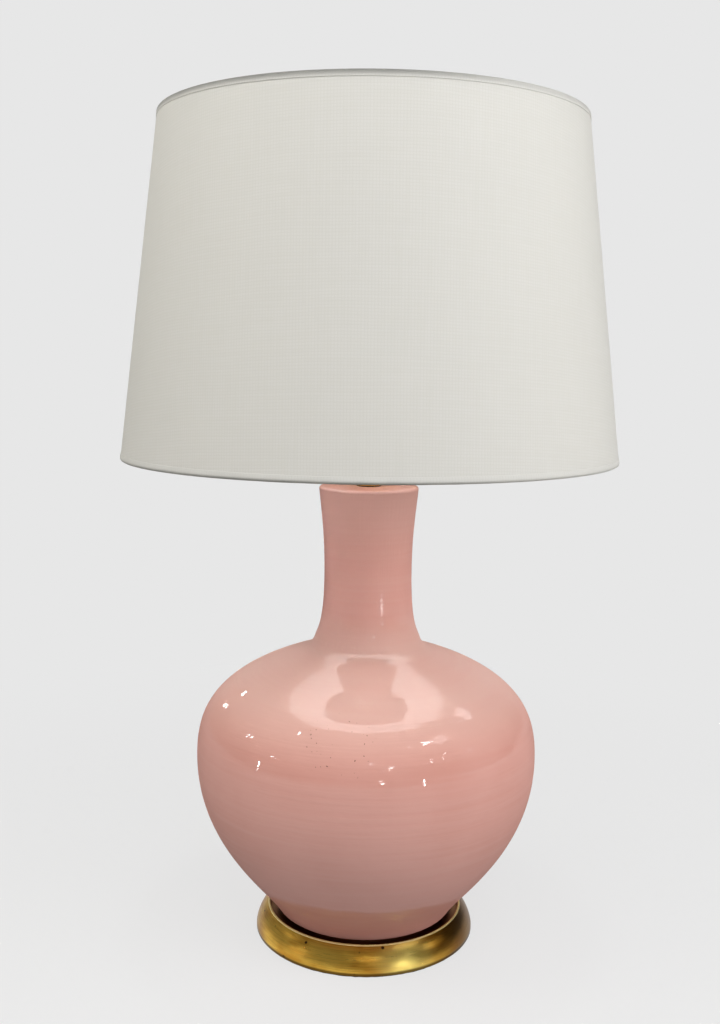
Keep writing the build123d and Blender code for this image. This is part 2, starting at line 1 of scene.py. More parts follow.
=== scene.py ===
"""The vase lamp's looks: materials, cloth pieces, light and camera. Metres, in the CAD frame."""

import json
from math import asin, cos, hypot, pi, radians, sin, tan, tau

import bpy
from mathutils import Matrix, Vector, noise


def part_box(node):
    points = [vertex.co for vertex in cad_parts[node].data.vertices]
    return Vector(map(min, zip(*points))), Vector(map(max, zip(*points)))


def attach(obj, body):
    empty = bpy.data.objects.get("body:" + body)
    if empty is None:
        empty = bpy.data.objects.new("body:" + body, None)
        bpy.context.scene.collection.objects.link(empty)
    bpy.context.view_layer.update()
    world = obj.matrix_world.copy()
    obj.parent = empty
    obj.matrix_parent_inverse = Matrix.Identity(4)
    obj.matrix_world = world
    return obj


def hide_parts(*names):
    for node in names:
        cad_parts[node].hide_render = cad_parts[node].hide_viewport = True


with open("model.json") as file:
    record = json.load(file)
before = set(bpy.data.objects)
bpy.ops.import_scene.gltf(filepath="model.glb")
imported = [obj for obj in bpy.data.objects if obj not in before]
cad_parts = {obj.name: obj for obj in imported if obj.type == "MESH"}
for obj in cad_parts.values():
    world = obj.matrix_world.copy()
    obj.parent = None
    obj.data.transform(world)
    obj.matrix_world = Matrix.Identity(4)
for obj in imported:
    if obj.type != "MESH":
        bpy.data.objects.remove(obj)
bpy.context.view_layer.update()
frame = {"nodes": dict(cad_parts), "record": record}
nodes = frame["nodes"]
subparts = frame["record"]["subparts"]

# Camera, fitted to the outlines of shade, vase and base in the photograph. Focal length in pixels
camera_place = Vector((0.0, -0.996, 0.5097))
camera_focal = 1166.7
camera_pitch = radians(7.76)
camera_roll = radians(-0.63)
camera_yaw = radians(-0.43)
picture_height = 1024

# Cloth
cloth_thickness = 0.0003
cloth_lap = radians(3.5)
cloth_wave = 0.00012
thread_pitch = 0.00227
hem_thickness = 0.0005
hem_radius = 0.00285
hem_edge = 0.0003
hem_lip = 0.0024
hem_tail = 0.0010
hem_square = 3.2
# The hems' marks are painted shade on the crowns of their folds.
hem_change = (0.5, 0.6)  # heights over which the lower hem's marks give way to the upper hem's
round_steps = 360

# Screw threads: rise in one turn, and where the harp stud's thread fades in
lamp_thread = 0.00363
pipe_thread = 0.00094
stud_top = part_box("harp_stud")[1].z
stud_start = (stud_top - 0.0118, stud_top - 0.0116)

# Base, marks of use and where a highlight is painted
rim_radius = 0.085
base_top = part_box("base_shell")[1].z
speck_middle = (-0.022, -0.134, 0.210)
painted_highlight_spot = (0.036, -0.088, 0.008)
brass_marks = ((-0.048, -0.0745, 0.0186), (0.016, -0.0858, 0.0212))


# Node trees


def colour(red, green, blue):
    """Linear colour for a screen colour given from 0 to 255."""
    def linear(value):
        share = value / 255
        return share / 12.92 if share <= 0.04045 else ((share + 0.055) / 1.055) ** 2.4

    return (linear(red), linear(green), linear(blue), 1.0)


class Nodes:
    """Short calls that build a node tree. Inputs are plain values or sockets of other nodes."""

    def __init__(self, tree):
        self.tree = tree

    def plug(self, socket, value):
        if isinstance(value, bpy.types.NodeSocket):
            self.tree.links.new(value, socket)
        else:
            socket.default_value = value

    def add(self, kind, inputs=None, **settings):
        node = self.tree.nodes.new("ShaderNode" + kind)
        for name, value in settings.items():
            setattr(node, name, value)
        for name, value in (inputs or {}).items():
            self.plug(node.inputs[name], value)
        return node

    def math(self, operation, first, second=0.0):
        return self.add("Math", {0: first, 1: second}, operation=operation).outputs[0]

    def fade(self, value, start, end, low=0.0, high=1.0):
        """Smooth step from low to high while value goes from start to end."""
        ends = {"Value": value, "From Min": start, "From Max": end, "To Min": low, "To Max": high}
        return self.add("MapRange", ends, interpolation_type="SMOOTHSTEP").outputs["Result"]

    def mix(self, share, first, second):
        return self.add("Mix", {0: share, 6: first, 7: second}, data_type="RGBA").outputs[2]

    def split(self, vector):
        return self.add("SeparateXYZ", {0: vector}).outputs

    def join(self, x, y, z):
        return self.add("CombineXYZ", {0: x, 1: y, 2: z}).outputs[0]


class Paint(Nodes):
    """A material on one Principled surface, with patterns laid out in the object's own metres."""

    def __init__(self, name, **values):
        self.material = bpy.data.materials.new(name)
        self.material.use_nodes = True
        super().__init__(self.material.node_tree)
        self.surface = self.tree.nodes["Principled BSDF"]
        self.output = self.tree.nodes["Material Output"]
        self.place = self.add("TexCoord").outputs["Object"]
        self.set(**values)

    def set(self, **values):
        """Inputs of the surface, with an underscore for each space in their names."""
        for name, value in values.items():
            self.plug(self.surface.inputs[name.replace("_", " ")], value)

    def noise(self, scale, detail=2.0, place=None):
        inputs = {"Vector": place or self.place, "Scale": scale, "Detail": detail}
        return self.add("TexNoise", inputs).outputs["Fac"]

    def stretched(self, x, y, z):
        return self.add("Mapping", {"Vector": self.place, "Scale": (x, y, z)}).outputs[0]

    def bump(self, height, distance):
        normal = self.add("Bump", {"Height": height, "Distance": distance}).outputs[0]
        self.set(Normal=normal)
        return normal

    def reach(self):
        """Distance from the axis."""
        x, y, _ = self.split(self.place)
        return self.add("VectorMath", {0: self.join(x, y, 0.0)}, operation="LENGTH").outputs[1]

    def away_from(self, point):
        """Distance from a point of the object."""
        return self.add("VectorMath", {0: self.place, 1: point}, operation="DISTANCE").outputs[1]

    def thread(self, pitch):
        """Height of a screw thread round the axis, from -1 to 1."""
        x, y, z = self.split(self.place)
        turn = self.math("DIVIDE", self.math("ARCTAN2", y, x), tau)
        rise = self.math("SUBTRACT", self.math("DIVIDE", z, pitch), turn)
        return self.math("SINE", self.math("MULTIPLY", rise, tau))

    def turned(self, coarse, fine):
        """Place for marks that run round the axis: slow round it, fine along the outline."""
        x, y, z = self.split(self.place)
        radius = self.math("MAXIMUM", self.reach(), 0.0005)
        along = self.math("SUBTRACT", z, radius)
        east = self.math("MULTIPLY", self.math("DIVIDE", x, radius), coarse)
        north = self.math("MULTIPLY", self.math("DIVIDE", y, radius), coarse)
        return self.join(east, north, self.math("MULTIPLY", along, fine))

    def blend(self, share, other):
        both = self.add("MixShader", {0: share, 1: self.surface.outputs[0], 2: other.outputs[0]})
        self.tree.links.new(both.outputs[0], self.output.inputs["Surface"])

    def let_through(self, share, tint):
        """Part of the light that falls on one side comes out of the other."""
        self.blend(share, self.add("BsdfTranslucent", {"Color": tint}))

    def mirror(self, normal, roughness, ior, limit):
        """Clear layer on top. The limit keeps its edges from turning milky against a pale room."""
        edge = self.add("Fresnel", {"IOR": ior, "Normal": normal}).outputs[0]
        gloss = self.add("BsdfGlossy", {"Color": (1, 1, 1, 1), "Roughness": roughness, "Normal": normal})
        self.blend(self.math("MINIMUM", edge, limit), gloss)


# Materials


def pink_glaze():
    """Clear gloss over pink, with painted light that makes shoulder and lip paler, and with throwing rings
    and specks.
    """
    paint = Paint("pink_glaze", Roughness=0.7, Specular_IOR_Level=0.0)
    _, _, z = paint.split(paint.place)
    drift = paint.fade(paint.noise(11.0, 3.0), 0.3, 0.7)
    body = paint.mix(drift, colour(222, 158, 144), colour(228, 166, 153))
    # Painted light: shoulder and lip are mixed towards a paler pink, standing in for brighter light there.
    painted_light_shoulder = paint.math("MULTIPLY", paint.fade(z, 0.185, 0.235), paint.fade(z, 0.300, 0.260, 0.0, 0.85))
    painted_light_pale = paint.math("MAXIMUM", painted_light_shoulder, paint.fade(z, 0.330, 0.385, 0.0, 0.30))
    body = paint.mix(painted_light_pale, body, colour(232, 190, 178))
    rings = paint.noise(1.0, 2.0, paint.stretched(7.0, 7.0, 240.0))
    body = paint.mix(paint.fade(rings, 0.3, 0.75, 0.0, 0.25), body, colour(229, 174, 162))
    cluster = paint.fade(paint.away_from(speck_middle), 0.033, 0.016)
    specks = paint.math("MULTIPLY", paint.fade(paint.noise(430.0, 0.0), 0.77, 0.81), cluster)
    body = paint.mix(specks, body, colour(140, 94, 82))
    paint.set(Base_Color=body)
    fine = paint.noise(1.0, 1.0, paint.stretched(110.0, 110.0, 480.0))
    ripples = paint.noise(45.0, 2.0)
    height = paint.math("ADD", rings, paint.math("MULTIPLY", ripples, 0.8))
    height = paint.math("ADD", height, paint.math("MULTIPLY", fine, 0.30))
    paint.mirror(paint.bump(height, 0.00022), 0.045, 1.6, 0.062)
    return paint.material


def antique_brass():
    """Spun brass under a worn brown lacquer, with painted shade at its sides, foot and well, and painted
    highlights on its front and along its rubbed rim.
    """
    paint = Paint("antique_brass", Metallic=1.0)
    reach = paint.reach()
    x, _, z = paint.split(paint.place)
    brush = paint.noise(1.0, 4.0, paint.turned(2.5, 1500.0))
    streaks = paint.noise(1.0, 3.0, paint.turned(5.0, 260.0))
    patina = paint.math("ADD", paint.noise(20.0, 4.0), paint.math("MULTIPLY", streaks, 0.6))
    body = paint.mix(paint.fade(patina, 0.55, 1.05), colour(240, 196, 86), colour(200, 140, 46))
    body = paint.mix(paint.fade(brush, 0.45, 0.75, 0.0, 0.4), body, colour(136, 94, 30))
    # Painted shade: the brass is darker towards its left and right sides.
    painted_shade_right = paint.fade(x, 0.05, 0.088, 0.0, 0.85)
    painted_shade_left = paint.fade(x, -0.08, -0.096, 0.0, 0.5)
    body = paint.mix(paint.math("MAXIMUM", painted_shade_right, painted_shade_left), body, colour(104, 70, 26))
    # Painted highlight: paler yellow on the front right of the brass wall.
    painted_front_highlight = paint.fade(paint.away_from(painted_highlight_spot), 0.036, 0.0, 0.0, 0.75)
    body = paint.mix(painted_front_highlight, body, colour(255, 230, 132))
    spots = paint.fade(paint.noise(150.0, 1.0), 0.74, 0.79, 0.0, 0.8)
    for mark in brass_marks:
        spots = paint.math("MAXIMUM", spots, paint.fade(paint.away_from(mark), 0.0018, 0.0009))
    body = paint.mix(spots, body, colour(62, 42, 18))
    # Painted shade: darker along the bottom edge of the brass.
    painted_shade_foot = paint.fade(z, 0.0046, 0.0026, 0.0, 0.85)
    body = paint.mix(painted_shade_foot, body, colour(62, 42, 18))
    # Painted shade: darker inside the rim, in the well.
    painted_shade_well = paint.fade(reach, rim_radius - 0.0004, rim_radius - 0.0012)
    body = paint.mix(painted_shade_well, body, colour(128, 88, 38))
    # Painted highlight: a pale line along the rubbed rim, which is also made rougher.
    crest = paint.fade(z, base_top - 0.0012, base_top - 0.0007)
    painted_rim_highlight = paint.math("MULTIPLY", crest, paint.fade(reach, rim_radius - 0.0012, rim_radius - 0.0006))
    body = paint.mix(painted_rim_highlight, body, colour(255, 240, 176))
    brushed = paint.fade(brush, 0.2, 0.8, 0.26, 0.40)
    paint.set(Base_Color=body, Roughness=paint.math("ADD", brushed, paint.math("MULTIPLY", painted_rim_highlight, 0.30)))
    paint.bump(brush, 0.00003)
    return paint.material


def polished_brass():
    paint = Paint("polished_brass", Metallic=1.0)
    film = paint.noise(60.0, 4.0)
    body = paint.mix(paint.fade(film, 0.35, 0.7), colour(224, 192, 112), colour(196, 158, 78))
    scratches = paint.noise(1.0, 3.0, paint.turned(4.0, 2600.0))
    paint.set(Base_Color=body, Roughness=paint.fade(scratches, 0.25, 0.75, 0.14, 0.28))
    _, _, z = paint.split(paint.place)
    on_stud = paint.math("MULTIPLY", paint.fade(paint.reach(), 0.0036, 0.0034), paint.fade(z, *stud_start))
    screw = paint.math("MULTIPLY", paint.thread(pipe_thread), on_stud)
    paint.bump(paint.math("ADD", scratches, paint.math("MULTIPLY", screw, 6.0)), 0.00002)
    return paint.material


def shade_fabric():
    """Plain weave laid out on the flat cut, so that the threads run as in a real sheet."""
    paint = Paint("shade_fabric", Roughness=0.8, Specular_IOR_Level=0.25, Sheen_Weight=0.08)
    cloth = paint.add("UVMap", uv_map="cloth").outputs[0]
    across, along, _ = paint.split(cloth)
    turn = pi / thread_pitch
    warp_wave = paint.math("SINE", paint.math("MULTIPLY", across, turn))
    weft_wave = paint.math("SINE", paint.math("MULTIPLY", along, turn))
    warp = paint.math("ABSOLUTE", warp_wave)
    weft = paint.math("ABSOLUTE", weft_wave)
    over = paint.fade(paint.math("MULTIPLY", warp_wave, weft_wave), -0.4, 0.4)
    warp_up = paint.math("MULTIPLY", warp, over)
    weft_up = paint.math("MULTIPLY", weft, paint.math("SUBTRACT", 1.0, over))
    weave = paint.math("ADD", warp_up, weft_up)
    slub_across = paint.add("Mapping", {"Vector": cloth, "Scale": (22.0, 440.0, 1.0)}).outputs[0]
    slub_along = paint.add("Mapping", {"Vector": cloth, "Scale": (440.0, 22.0, 1.0)}).outputs[0]
    slubs = paint.math("ADD", paint.noise(1.0, 1.0, slub_across), paint.noise(1.0, 1.0, slub_along))
    grid = paint.math("MULTIPLY", warp, weft)
    body = paint.mix(paint.fade(grid, 0.0, 0.6), colour(237, 236, 231), colour(243, 242, 238))
    body = paint.mix(paint.fade(slubs, 0.8, 1.25, 0.0, 0.4), body, colour(236, 235, 229))
    # The cloth coordinate along the sheet is below zero on the cover and above zero on the hems
    on_hem = paint.fade(along, -0.1, 0.0)
    x, _, z = paint.split(paint.place)
    # Painted shade: the crown of each hem's fold is darker grey, most on the left side.
    lower_crown = hem_lip + 1.7 * hem_radius
    upper_crown = hem_lip + 1.25 * hem_radius
    crown_place = paint.fade(z, *hem_change, lower_crown, upper_crown)
    from_crown = paint.math("ABSOLUTE", paint.math("SUBTRACT", along, crown_place))
    crown_width = paint.fade(z, *hem_change, 0.0052, 0.0066)
    painted_crown_shade = paint.math("MULTIPLY", on_hem, paint.fade(from_crown, crown_width, 0.0014))
    painted_crown_shade = paint.math("MULTIPLY", painted_crown_shade, paint.fade(x, 0.0, 0.13, 1.0, 0.4))
    body = paint.mix(painted_crown_shade, body, colour(138, 138, 136))
    paint.set(Base_Color=body)
    paint.bump(paint.math("ADD", weave, paint.math("MULTIPLY", slubs, 0.6)), 0.00004)
    paint.let_through(0.3, colour(240, 238, 232))
    return paint.material


def shade_lining():
    paint = Paint("shade_lining", Roughness=0.42, IOR=1.55)
    cloud = paint.noise(40.0, 3.0)
    paint.set(Base_Color=paint.mix(cloud, colour(238, 237, 233), colour(230, 228, 222)))
    paint.bump(paint.noise(700.0, 2.0), 0.00003)
    paint.let_through(0.4, colour(238, 235, 228))
    return paint.material


def white_wire():
    paint = Paint("white_wire", Roughness=0.35, Coat_Weight=0.3)
    wear = paint.fade(paint.noise(90.0, 3.0), 0.4, 0.75)
    paint.set(Base_Color=paint.mix(wear, colour(232, 231, 226), colour(214, 211, 202)))
    paint.bump(paint.noise(900.0, 2.0), 0.00003)
    return paint.material


def zinc_steel():
    paint = Paint("zinc_steel", Metallic=1.0)
    bloom = paint.noise(120.0, 4.0)
    paint.set(Base_Color=paint.mix(bloom, colour(196, 199, 203), colour(160, 163, 166)))
    paint.set(Roughness=paint.fade(paint.noise(420.0, 2.0), 0.3, 0.7, 0.25, 0.45))
    screw = paint.math("MULTIPLY", paint.thread(pipe_thread), paint.fade(paint.reach(), 0.0054, 0.0050))
    paint.bump(paint.math("ADD", bloom, paint.math("MULTIPLY", screw, 6.0)), 0.00002)
    return paint.material


def black_rubber():
    paint = Paint("black_rubber", Roughness=0.75)
    dust = paint.noise(160.0, 4.0)
    paint.set(Base_Color=paint.mix(paint.fade(dust, 0.4, 0.8), colour(36, 36, 36), colour(60, 59, 57)))
    paint.bump(paint.noise(900.0, 2.0), 0.00005)
    return paint.material


def dark_felt():
    paint = Paint("dark_felt", Roughness=0.95, Specular_IOR_Level=0.1, Sheen_Weight=0.3)
    fibres = paint.noise(520.0, 6.0)
    clumps = paint.noise(60.0, 3.0)
    body = paint.mix(paint.fade(fibres, 0.3, 0.7), colour(74, 63, 51), colour(112, 98, 80))
    body = paint.mix(paint.fade(clumps, 0.4, 0.7, 0.0, 0.5), body, colour(84, 72, 58))
    paint.set(Base_Color=body)
    paint.bump(fibres, 0.0004)
    return paint.material


def dark_phenolic():
    paint = Paint("dark_phenolic", Roughness=0.38, IOR=1.6)
    flow = paint.noise(55.0, 4.0)
    paint.set(Base_Color=paint.mix(paint.fade(flow, 0.35, 0.75), colour(44, 38, 34), colour(70, 58, 48)))
    paint.bump(paint.noise(500.0, 2.0), 0.00003)
    return paint.material


def brown_card():
    paint = Paint("brown_card", Roughness=0.9, Specular_IOR_Level=0.2)
    fibres = paint.noise(1.0, 5.0, paint.stretched(260.0, 260.0, 900.0))
    paint.set(Base_Color=paint.mix(fibres, colour(146, 112, 74), colour(184, 150, 106)))
    paint.bump(fibres, 0.00006)
    return paint.material


def frosted_glass():
    paint = Paint("frosted_glass", Roughness=0.32, IOR=1.5, Coat_Weight=0.6, Coat_Roughness=0.04)
    frost = paint.noise(220.0, 4.0)
    paint.set(Base_Color=paint.mix(frost, colour(196, 195, 190), colour(184, 183, 178)))
    paint.bump(frost, 0.00002)
    paint.let_through(0.30, colour(206, 204, 198))
    return paint.material


def bright_aluminium():
    paint = Paint("bright_aluminium", Metallic=1.0)
    draw = paint.noise(1.0, 3.0, paint.turned(5.0, 1800.0))
    paint.set(Base_Color=paint.mix(draw, colour(214, 214, 212), colour(186, 187, 188)))
    paint.set(Roughness=paint.fade(draw, 0.3, 0.7, 0.18, 0.34))
    screw = paint.math("MULTIPLY", paint.thread(lamp_thread), paint.fade(paint.reach(), 0.0115, 0.0125))
    paint.bump(paint.math("ADD", draw, paint.math("MULTIPLY", screw, 14.0)), 0.00003)
    return paint.material


makers = (
    pink_glaze, antique_brass, polished_brass, shade_fabric, shade_lining, white_wire, zinc_steel,
    black_rubber, dark_felt, dark_phenolic, brown_card, frosted_glass, bright_aluminium,
)
materials = {maker.__name__: maker() for maker in makers}

for subpart in subparts:
    mesh = nodes[subpart["node"]].data
    mesh.materials.clear()
    mesh.materials.append(materials[subpart["material_slot"]])


# Cloth pieces


def outline(node):
    """(radius, height) of every corner of a turned CAD node."""
    return [Vector((hypot(v.co.x, v.co.y), v.co.z)) for v in nodes[node].data.vertices]


def swing(point, angle):
    """Point of the outline carried round the axis. Angle 0 is at the back."""
    return Vector((point.x * -sin(angle), point.x * cos(angle), point.y))


def add_piece(name, points, faces, flat_points, slot_name, body, replaced):
    """Mesh with cloth coordinates in metres, in place of a CAD node."""
    mesh = bpy.data.meshes.new(name)
    mesh.from_pydata(points, [], faces)
    cloth = mesh.uv_layers.new(name="cloth").data
    for loop in mesh.loops:
        cloth[loop.index].uv = flat_points[loop.vertex_index]
    mesh.shade_smooth()
    mesh.materials.append(materials[slot_name])
    piece = bpy.data.objects.new(name, mesh)
    bpy.context.scene.collection.objects.link(piece)
    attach(piece, body)
    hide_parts(replaced)
    return piece


def grid_faces(rows, columns, closed_rows=False, closed_columns=False):
    """Quads over a grid of points numbered row by row."""
    faces = []
    for row in range(rows if closed_rows else rows - 1):
        for column in range(columns if closed_columns else columns - 1):
            next_row = (row + 1) % rows
            next_column = (column + 1) % columns
            faces.append((
                row * columns + column,
                row * columns + next_column,
                next_row * columns + next_column,
                next_row * columns + column,
            ))
    return faces


cover_outline = outline("shade_cover")
cover_head = max(cover_outline, key=lambda point: point.y)
cover_foot = max(cover_outline, key=lambda point: point.x)
sheet_length = (cover_head - cover_foot).length
sheet_up = (cover_head - cover_foot).normalized()
sheet_out = Vector((sheet_up.y, -sheet_up.x))
sheet_taper = asin(-sheet_up.x)


def flat_cut(radius, angle):
    """Where a point of the cone lies on the cloth before it was rolled up."""
    reach = radius / sin(sheet_taper)
    turn = (angle - pi) * sin(sheet_taper)
    return (reach * sin(turn), -reach * cos(turn))


def make_cover():
    """One length of cloth rolled round the liner, its end lapped over its start at the back."""
    up_steps = 40
    cut_edge = 0.001
    calm_edge = 0.03
    waves_round = 4
    waves_up = 18
    tuck_end = 3 * cloth_lap
    tuck_depth = 1.1 * cloth_thickness
    lap_columns = 6
    columns = round_steps + lap_columns
    sweep = tau + cloth_lap
    points = []
    flat_points = []
    rises = [sheet_length * row / up_steps for row in range(up_steps + 1)]
    rises[1:1] = [cut_edge]
    rises[-1:-1] = [sheet_length - cut_edge]
    for side in (0.0, cloth_thickness):
        for rise in rises:
            calm = min(1.0, rise / calm_edge, (sheet_length - rise) / calm_edge)
            for column in range(columns):
                angle = sweep * column / (columns - 1)
                start = min(1.0, angle / tuck_end)
                tuck = tuck_depth * (1 - start * start * (3 - 2 * start))
                spot = Vector((cos(angle) * waves_round, sin(angle) * waves_round, rise * waves_up))
                wave = calm * cloth_wave * noise.noise(spot)
                point = cover_foot + sheet_up * rise + sheet_out * (wave - tuck - side)
                points.append(swing(point, angle))
                flat_points.append(flat_cut(point.x, angle))
    rows = len(rises)
    size = rows * columns
    outside = grid_faces(rows, columns)
    faces = list(outside)
    faces += [tuple(corner + size for corner in reversed(face)) for face in outside]
    border = list(range(columns))
    border += [row * columns + columns - 1 for row in range(1, rows)]
    border += [(rows - 1) * columns + column for column in range(columns - 2, -1, -1)]
    border += [row * columns for row in range(rows - 2, 0, -1)]
    for here, there in zip(border, border[1:] + border[:1]):
        faces.append((there, here, here + size, there + size))
    return add_piece("shade_cloth", points, faces, flat_points, "shade_fabric", "shade", "shade_cover")


def pressed_fold(angle):
    """Point on a fold of radius 1 that is pressed flat on its sides and tight at its corners."""
    out = cos(angle)
    rise = sin(angle)
    reach = (abs(out) ** hem_square + abs(rise) ** hem_square) ** (-1 / hem_square)
    return Vector((out, rise)) * reach


def make_hem(name, edge, away, replaced, slits=()):
    """Cloth strip folded over an edge of the shade, cut back inside where an arm goes through."""
    steps = 2 * round_steps
    fold_steps = 16
    puckers_round = 30
    puckers_up = 10
    pucker_depth = 0.00006
    lip_wander = 0.00015
    slit_half_width = 0.0021
    slit_fold = radians(128)
    slit_tail = 0.0002
    inner_radius = hem_radius - hem_thickness
    middle = edge - sheet_out * inner_radius
    points = []
    flat_points = []
    for step in range(steps):
        angle = tau * step / steps
        spot = Vector((cos(angle) * puckers_round, sin(angle) * puckers_round, edge.y * puckers_up))
        pucker = pucker_depth * noise.noise(spot)
        lip = hem_lip + lip_wander * noise.noise(spot * 0.5)
        slit = any(abs((angle - at + pi) % tau - pi) * edge.x < slit_half_width for at in slits)
        fold = slit_fold if slit else pi
        outside = [Vector((inner_radius + hem_edge, rise - lip)) for rise in (0.0, hem_edge)]
        inside = [Vector((inner_radius, rise - lip)) for rise in (0.0, hem_edge)]
        for number in range(fold_steps + 1):
            turn = pressed_fold(fold * number / fold_steps)
            outside.append(turn * (hem_radius + pucker))
            inside.append(turn * inner_radius)
        tail = Vector((0, -slit_tail if slit else -hem_tail))
        outside.append(outside[-1] + tail)
        inside.append(inside[-1] + tail)
        length = 0.0
        ring = outside + inside[::-1]
        for before, (out, rise) in zip(ring[:1] + ring, ring):
            length += hypot(out - before.x, rise - before.y)
            points.append(swing(middle + sheet_out * out + away * rise, angle))
            flat_points.append((edge.x * angle, length))
    faces = grid_faces(steps, len(ring), closed_rows=True, closed_columns=True)
    return add_piece(name, points, faces, flat_points, "shade_fabric", "shade", replaced)


def make_felt():
    """Pressed felt disc under the base, a little uneven at its edge."""
    low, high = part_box("felt_pad")
    radius = high.x
    thickness = high.z - low.z
    steps = 180
    fray_depth = 0.0006
    fray_round = 22
    fray_up = 900
    fray_start = 0.97
    rings = [0.02, 0.25, 0.5, 0.7, 0.85, 0.94, 0.985, 1.0]
    levels = [(share, high.z) for share in rings]
    levels += [(1.0, high.z - thickness * 0.5)]
    levels += [(share, low.z) for share in reversed(rings)]
    points = []
    flat_points = []
    for share, level in levels:
        for step in range(steps):
            angle = tau * step / steps
            tuft = Vector((cos(angle) * fray_round, sin(angle) * fray_round, level * fray_up))
            fray = fray_depth * (noise.noise(tuft) - 0.5)
            reach = share * radius + (fray if share > fray_start else 0.0)
            spot = swing(Vector((reach, level)), angle)
            points.append(spot)
            flat_points.append((spot.x, spot.y))
    faces = grid_faces(len(levels), steps, closed_columns=True)
    faces.append(tuple(range(steps)))
    faces.append(tuple(range((len(levels) - 1) * steps, len(levels) * steps))[::-1])
    return add_piece("felt_disc", points, faces, flat_points, "dark_felt", "lamp", "felt_pad")


arm_angles = [radians(120 * turn) for turn in range(3)]
cover = make_cover()
top_hem = make_hem("shade_top_roll", cover_head, sheet_up, "shade_top_hem", arm_angles)
bottom_hem = make_hem("shade_bottom_roll", cover_foot, -sheet_up, "shade_bottom_hem")
felt = make_felt()


# Stage: pale floor and background, soft light


background = colour(231, 231, 231)
lamp_middle = Vector((0, 0, 0.3))


def seen_ray(tree):
    """1 for what the camera sees, directly, in a mirror or through glass, and 0 for other light."""
    path = tree.add("LightPath").outputs
    seen = tree.math("ADD", path["Is Camera Ray"], path["Is Glossy Ray"])
    return tree.math("MINIMUM", tree.math("ADD", seen, path["Is Transmission Ray"]), 1.0)


def make_world(room, dark):
    """Grey room, darker to the right, with a pale backdrop behind the lamp."""
    world = bpy.data.worlds.new("studio")
    world.use_nodes = True
    bpy.context.scene.world = world
    tree = Nodes(world.node_tree)
    right, behind, _ = tree.split(tree.add("TexCoord").outputs["Generated"])
    walls = tree.mix(tree.fade(right, 0.3, 0.75), (room, room, room, 1.0), (dark, dark, dark, 1.0))
    sky = tree.tree.nodes["Background"]
    tree.plug(sky.inputs["Color"], tree.mix(tree.fade(behind, 0.8, 0.9), walls, background))


def make_floor(bounce):
    """Floor that looks as pale as the background, takes the lamp's shadow and throws little light up."""
    size = 60.0
    shadow_grey = 0.15
    unlit_share = 0.86
    corners = [(-size, -size, 0), (size, -size, 0), (size, size, 0), (-size, size, 0)]
    mesh = bpy.data.meshes.new("floor")
    mesh.from_pydata(corners, [], [(0, 1, 2, 3)])
    floor = bpy.data.objects.new("floor", mesh)
    bpy.context.scene.collection.objects.link(floor)
    paint = Paint("pale_floor", Roughness=1.0, Specular_IOR_Level=0.0)
    far = paint.fade(paint.reach(), 0.2, 0.9)
    paint.set(Base_Color=(bounce, bounce, bounce, 1.0))
    shadow = paint.add("BsdfDiffuse", {"Color": (shadow_grey, shadow_grey, shadow_grey, 1.0)})
    glow = paint.add("Emission", {"Color": background, "Strength": 1.0})
    base = paint.add("Emission", {"Color": background, "Strength": unlit_share})
    ground = paint.add("AddShader", {0: base.outputs[0], 1: shadow.outputs[0]})
    near = paint.add("MixShader", {0: far, 1: ground.outputs[0], 2: glow.outputs[0]})
    look = paint.add("MixShader", {0: seen_ray(paint), 1: paint.surface.outputs[0], 2: near.outputs[0]})
    paint.plug(paint.output.inputs["Surface"], look.outputs[0])
    mesh.materials.append(paint.material)


def aim(azimuth, elevation):
    """Direction from the lamp. Azimuth 0 is towards the camera's side, positive to its right."""
    flat = cos(radians(elevation))
    side = radians(azimuth)
    return Vector((sin(side) * flat, -cos(side) * flat, sin(radians(elevation))))


def area_light(name, place, direction, radiance, width, height, lights, shows, tint=(1, 1, 1), beam=None):
    """Rectangle of light facing along direction, that lights surfaces, shows in mirrors or both."""
    light = bpy.data.lights.new(name, "AREA")
    light.shape = "RECTANGLE"
    light.size = width
    light.size_y = height
    light.energy = radiance * pi * width * height
    light.color = tint
    if beam:
        # The power is gathered in the beam, so less of it looks as bright
        light.spread = beam
        light.energy *= tan(beam / 2) ** 2 / 3
    lamp = bpy.data.objects.new(name, light)
    bpy.context.scene.collection.objects.link(lamp)
    lamp.location = place
    lamp.rotation_euler = direction.to_track_quat("-Z", "Y").to_euler()
    lamp.visible_diffuse = lights
    lamp.visible_glossy = shows
    lamp.visible_camera = False


def softbox(name, azimuth, elevation, level, width, height, distance, tint, target=lamp_middle, beam=None):
    """Light towards a target. Level is how bright it makes a white card that faces it."""
    direction = aim(azimuth, elevation)
    place = target + direction * distance
    radiance = level * pi * distance * distance / (width * height)
    area_light(name, place, -direction, radiance, width, height, True, False, tint, beam)


def mirror_card(name, azimuth, elevation, radiance, width, height):
    """Bright card that only shows as a mirror image."""
    distance = 2.4
    direction = aim(azimuth, elevation)
    place = lamp_middle + direction * distance
    area_light(name, place, -direction, radiance, width, height, False, True)


def brass_card(name, azimuth, elevation, radiance):
    """Card with a narrow beam towards the part of the brass wall that mirrors it to the camera's side."""
    width = 0.30
    height = 0.20
    distance = 1.5
    beam = radians(8)
    wall_radius = 0.093
    wall_height = 0.012
    turn = radians(azimuth / 2)
    spot = Vector((wall_radius * sin(turn), -wall_radius * cos(turn), wall_height))
    direction = aim(azimuth, elevation)
    place = spot + direction * distance
    area_light(name, place, -direction, radiance, width, height, False, True, beam=beam)


